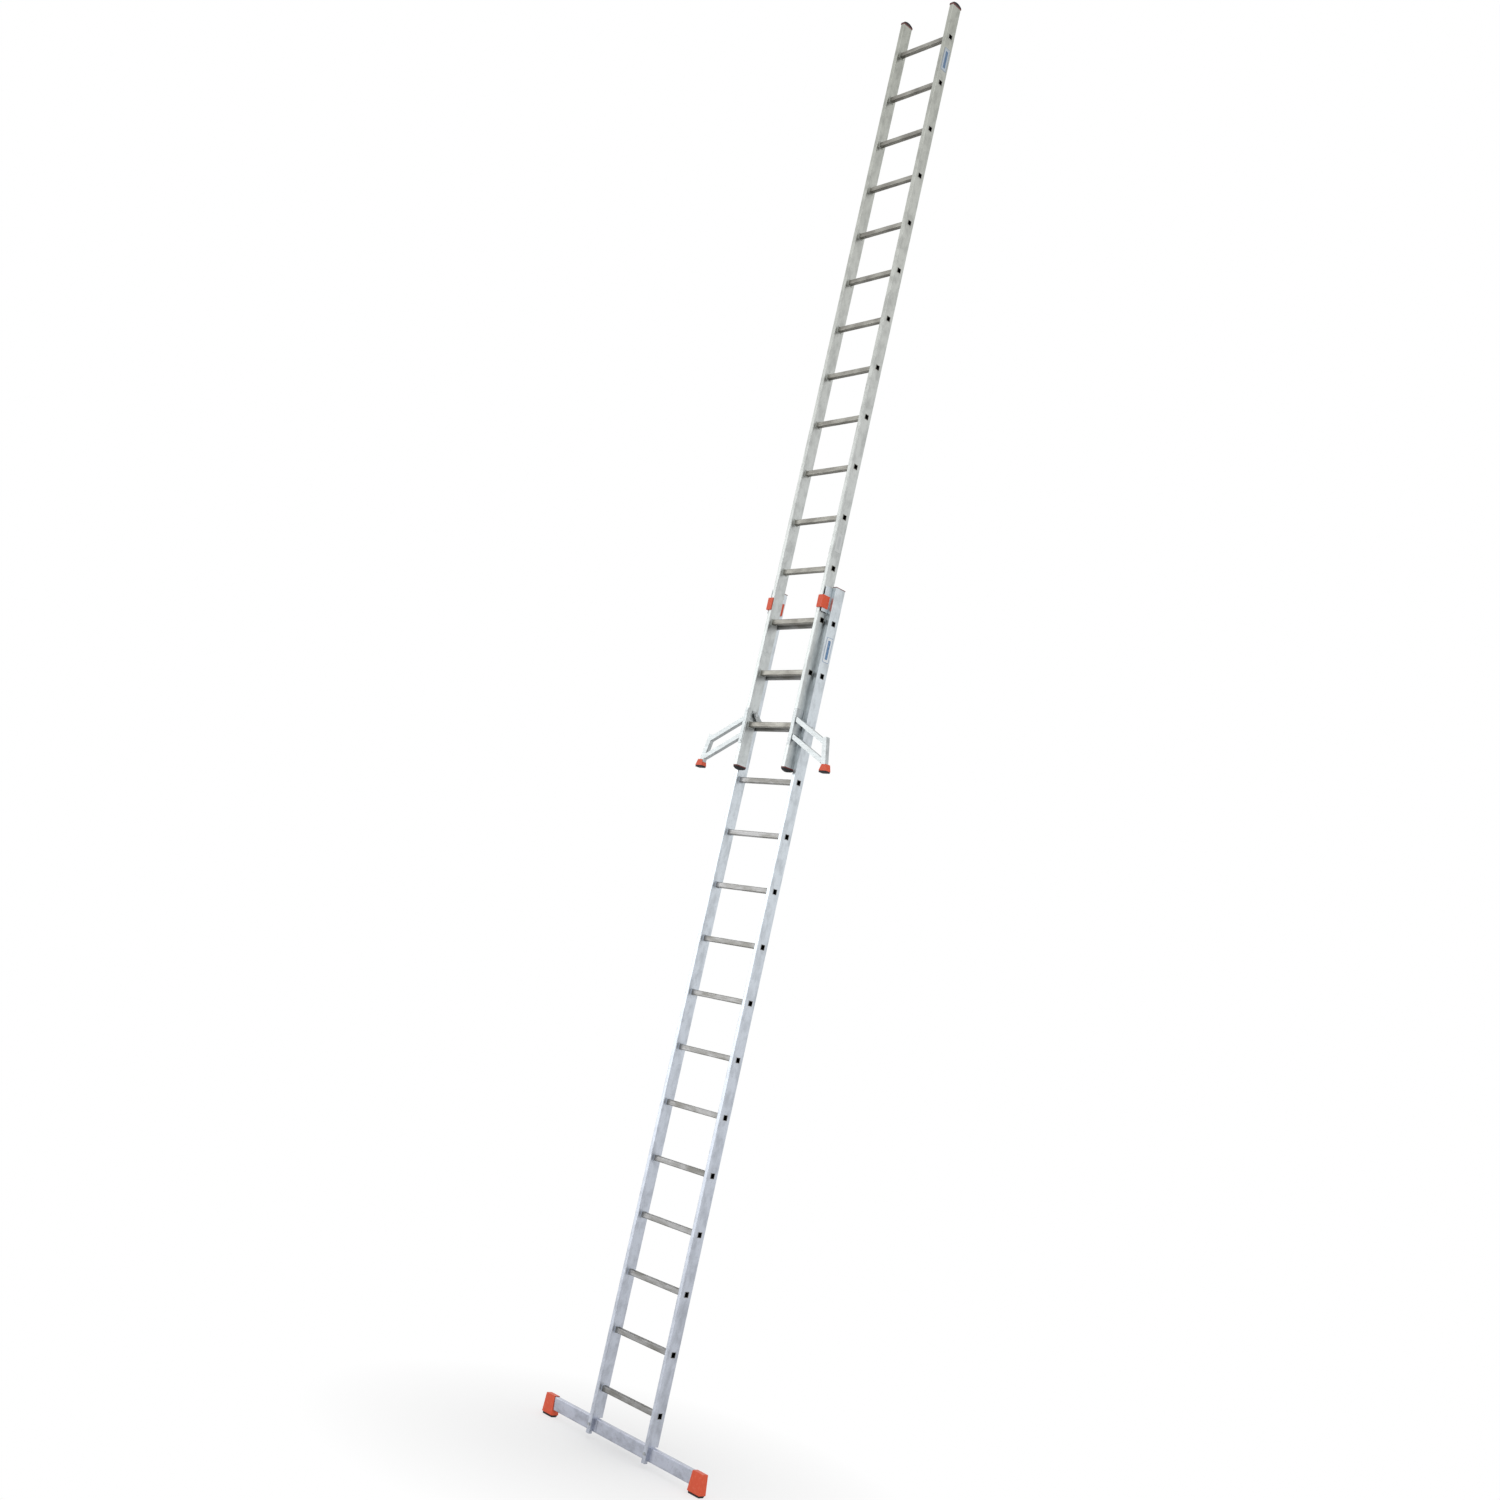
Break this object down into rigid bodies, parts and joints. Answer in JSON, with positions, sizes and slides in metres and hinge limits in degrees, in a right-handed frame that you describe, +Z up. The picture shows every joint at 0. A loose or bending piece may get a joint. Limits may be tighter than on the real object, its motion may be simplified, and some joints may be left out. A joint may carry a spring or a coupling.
{
  "type": "extension ladder",
  "caption": "Push-up aluminium extension ladder: an upper section slides on a lower one and hooks over its rungs; wide crossbar with soled caps, outriggers at the upper foot.",
  "frame": {"origin": "on the floor plane under the crossbar's soles, in the middle of the ladder's width and depth, with the ladder upright", "axes": "+Z up along the stiles, +Y from the climber towards the wall, +X to the climber's right"},
  "size_m": [1.198, 0.1264, 7.733],
  "materials": {
    "lower_stile_aluminium": "mill-finish extruded aluminium, satin",
    "upper_stile_aluminium": "mill-finish extruded aluminium, satin",
    "rung_aluminium": "ribbed extruded aluminium, satin",
    "crossbar_aluminium": "mill-finish extruded aluminium, satin",
    "outrigger_aluminium": "aluminium tube, satin",
    "bracket_steel": "zinc-plated pressed steel",
    "orange_plastic": "moulded orange plastic, matt",
    "black_rubber": "moulded black rubber",
    "red_plastic": "moulded dark red plastic, matt",
    "grey_plastic": "moulded grey plastic, matt",
    "zinc_steel": "zinc-plated steel",
    "hook_steel": "dark coated pressed steel",
    "spring_steel": "oiled spring steel"
  },
  "bodies": {
    "lower_section": {"crossbar": "crossbar_aluminium", "crossbar_bolts": "zinc_steel", "crossbar_brackets": "bracket_steel", "crossbar_cap_left": "orange_plastic", "crossbar_cap_right": "orange_plastic", "crossbar_soles": "black_rubber", "guide_plate_left": "bracket_steel", "guide_plate_right": "bracket_steel", "guide_rivets": "zinc_steel", "guide_slider_left": "orange_plastic", "guide_slider_right": "orange_plastic", "lower_rung_01": "rung_aluminium", "lower_rung_02": "rung_aluminium", "lower_rung_03": "rung_aluminium", "lower_rung_04": "rung_aluminium", "lower_rung_05": "rung_aluminium", "lower_rung_06": "rung_aluminium", "lower_rung_07": "rung_aluminium", "lower_rung_08": "rung_aluminium", "lower_rung_09": "rung_aluminium", "lower_rung_10": "rung_aluminium", "lower_rung_11": "rung_aluminium", "lower_rung_12": "rung_aluminium", "lower_rung_13": "rung_aluminium", "lower_rung_14": "rung_aluminium", "lower_rung_15": "rung_aluminium", "lower_stile_left": "lower_stile_aluminium", "lower_stile_right": "lower_stile_aluminium", "lower_top_plugs": "grey_plastic"},
    "upper_section": {"hook_brackets": "hook_steel", "hook_pins": "zinc_steel", "hook_springs": "spring_steel", "outrigger_brackets": "bracket_steel", "outrigger_feet": "orange_plastic", "outrigger_frames": "outrigger_aluminium", "outrigger_rivets": "zinc_steel", "outrigger_soles": "black_rubber", "upper_bottom_pads": "black_rubber", "upper_bottom_plugs": "red_plastic", "upper_rung_01": "rung_aluminium", "upper_rung_02": "rung_aluminium", "upper_rung_03": "rung_aluminium", "upper_rung_04": "rung_aluminium", "upper_rung_05": "rung_aluminium", "upper_rung_06": "rung_aluminium", "upper_rung_07": "rung_aluminium", "upper_rung_08": "rung_aluminium", "upper_rung_09": "rung_aluminium", "upper_rung_10": "rung_aluminium", "upper_rung_11": "rung_aluminium", "upper_rung_12": "rung_aluminium", "upper_rung_13": "rung_aluminium", "upper_rung_14": "rung_aluminium", "upper_rung_15": "rung_aluminium", "upper_stile_left": "upper_stile_aluminium", "upper_stile_right": "upper_stile_aluminium", "upper_top_pads": "black_rubber", "upper_top_plugs": "red_plastic"},
    "hook_left": {"hook_left": "hook_steel"},
    "hook_right": {"hook_right": "hook_steel"}
  },
  "joints": [
    {"name": "extension_slide", "type": "slide", "parent": "lower_section", "child": "upper_section", "axis": [0, 0, 1], "range_m": [-3.36, 0]},
    {"name": "hook_left_swing", "type": "hinge", "parent": "upper_section", "child": "hook_left", "pos_m": [-0.1525, -0.01275, 3.658], "axis": [1, 0, 0], "range_deg": [0, 125], "stiffness_Nm_per_rad": 0.05, "springref_deg": -28.65},
    {"name": "hook_right_swing", "type": "hinge", "parent": "upper_section", "child": "hook_right", "pos_m": [0.1525, -0.01275, 3.658], "axis": [1, 0, 0], "range_deg": [0, 125], "stiffness_Nm_per_rad": 0.05, "springref_deg": -28.65}
  ]
}
